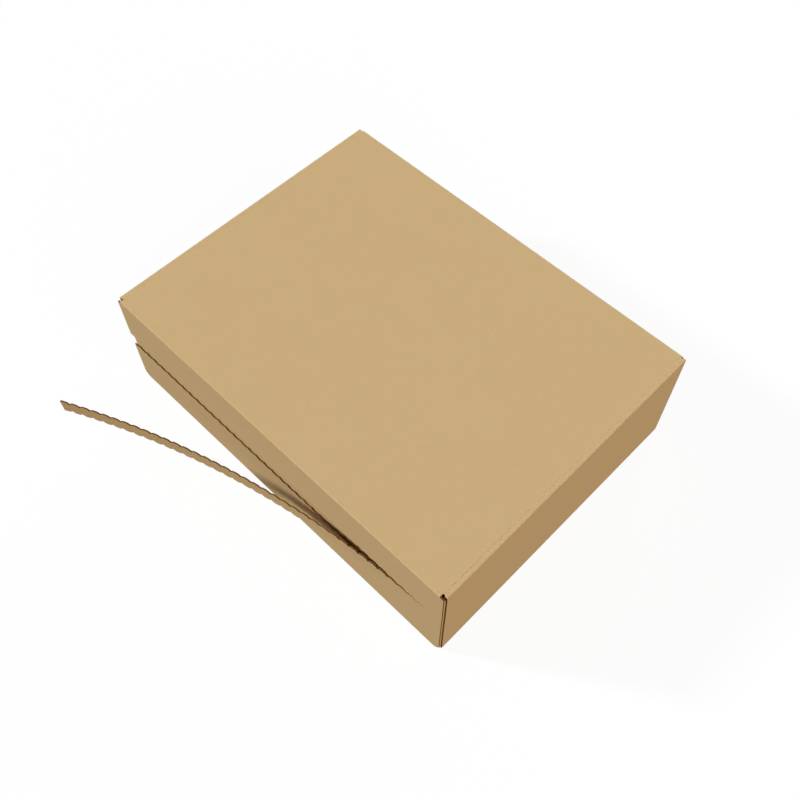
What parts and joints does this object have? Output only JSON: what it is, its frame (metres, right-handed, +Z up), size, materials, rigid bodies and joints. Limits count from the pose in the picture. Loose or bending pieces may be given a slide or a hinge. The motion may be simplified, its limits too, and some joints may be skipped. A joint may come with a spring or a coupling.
{
  "type": "closed cardboard box",
  "caption": "Sealed roll-end mailer folded from one corrugated blank, with a wave-cut tear strip torn open along its outside front flap and curling away.",
  "frame": {"origin": "centre of the box's underside, on the surface that it stands on, with the torn strip left out of the centring", "axes": "+Z up, +X along the sealed front, +Y from the sealed front to the wall that hinges the lid"},
  "size_m": [0.4, 0.393, 0.119],
  "materials": {
    "kraft_board": "matte brown kraft liner, dark fluted cut edges",
    "closure_tape": "thin double-sided adhesive tape"
  },
  "bodies": {
    "root": {"folded_blank": "kraft_board", "closure_tape": "closure_tape"}
  },
  "joints": []
}
